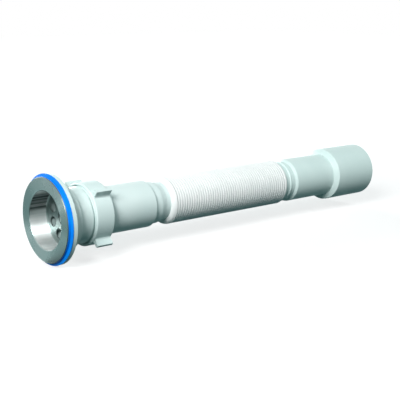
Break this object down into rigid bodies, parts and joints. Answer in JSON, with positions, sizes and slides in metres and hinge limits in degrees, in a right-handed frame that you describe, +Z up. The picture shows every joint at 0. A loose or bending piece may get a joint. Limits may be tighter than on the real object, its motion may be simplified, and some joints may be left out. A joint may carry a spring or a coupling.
{
  "type": "corrugated trap",
  "caption": "Flexible sink trap: steel strainer with blue gasket, winged union nut, stretching corrugated hose and a stepped 40/50 mm outlet.",
  "frame": {"origin": "centre of the strainer's front face, on the tube's axis", "axes": "+X along the tube from the strainer to the outlet, +Z up as the trap lies"},
  "size_m": [0.3666, 0.0742, 0.0742],
  "materials": {
    "steel": "satin face, polished cup",
    "screw_steel": "bright",
    "insert_brass": "plain",
    "blue_rubber": "matte",
    "grey_plastic": "semi-gloss",
    "nut_plastic": "semi-gloss",
    "hose_plastic": "semi-gloss",
    "grey_rubber": "matte"
  },
  "bodies": {
    "waste": {"waste_body": "grey_plastic", "strainer_cup": "steel", "fixing_screw": "screw_steel", "threaded_insert": "insert_brass", "flange_gasket": "blue_rubber"},
    "nut": {"union_nut": "nut_plastic"},
    "inlet_pipe": {"inlet_spigot": "grey_plastic", "sealing_washer": "grey_rubber", "corrugated_hose": "hose_plastic"},
    "outlet": {"outlet_spigot": "grey_plastic"}
  },
  "joints": [
    {"name": "union_nut_turn", "type": "hinge", "parent": "waste", "child": "nut", "pos_m": [0.041, 0, 0], "axis": [1, 0, 0], "range_deg": [0, 1125]},
    {"name": "pipe_swivel", "type": "hinge", "parent": "waste", "child": "inlet_pipe", "pos_m": [0.0457, 0, 0], "axis": [1, 0, 0], "continuous": true},
    {"name": "hose_stretch", "type": "slide", "parent": "inlet_pipe", "child": "outlet", "axis": [1, 0, 0], "range_m": [0, 0.36], "deforming": ["corrugated_hose"]}
  ]
}
